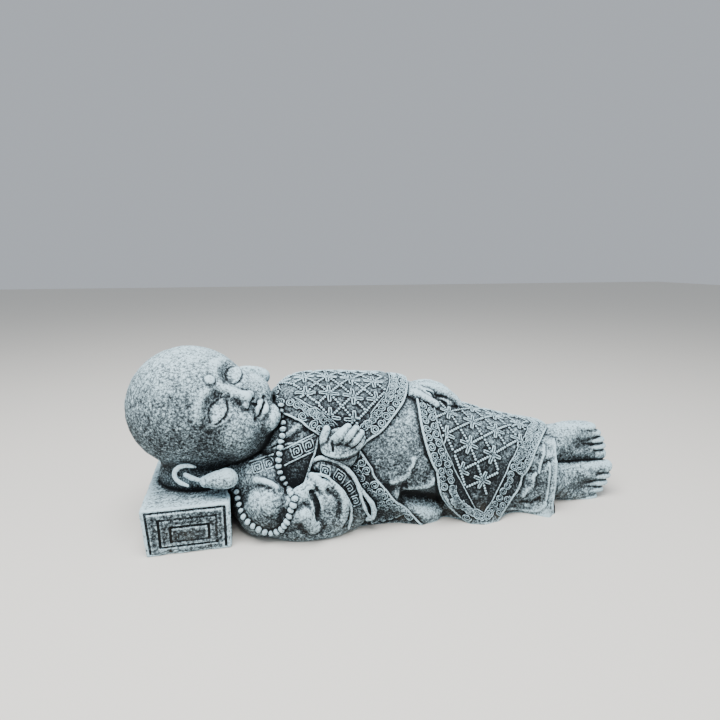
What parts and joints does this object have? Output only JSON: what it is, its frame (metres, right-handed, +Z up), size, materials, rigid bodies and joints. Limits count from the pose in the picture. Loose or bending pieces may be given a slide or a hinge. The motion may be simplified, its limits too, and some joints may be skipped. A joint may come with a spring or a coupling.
{
  "type": "reclining buddha statue",
  "caption": "Cast stone statue of a child monk asleep on his side in a patterned robe, his head on a block pillow and a string of beads round his neck.",
  "frame": {"origin": "on the flat underside, under the middle of the figure's length", "axes": "+X from the crown of the head towards the toes, -Y the side the face looks towards, +Z up"},
  "size_m": [0.45, 0.1359, 0.1599],
  "materials": {
    "cast_stone": "matt speckled cast stone, pale blue-grey on its high places and near black in its hollows"
  },
  "bodies": {
    "root": {"reclining_buddha_statue": "cast_stone"}
  },
  "joints": []
}
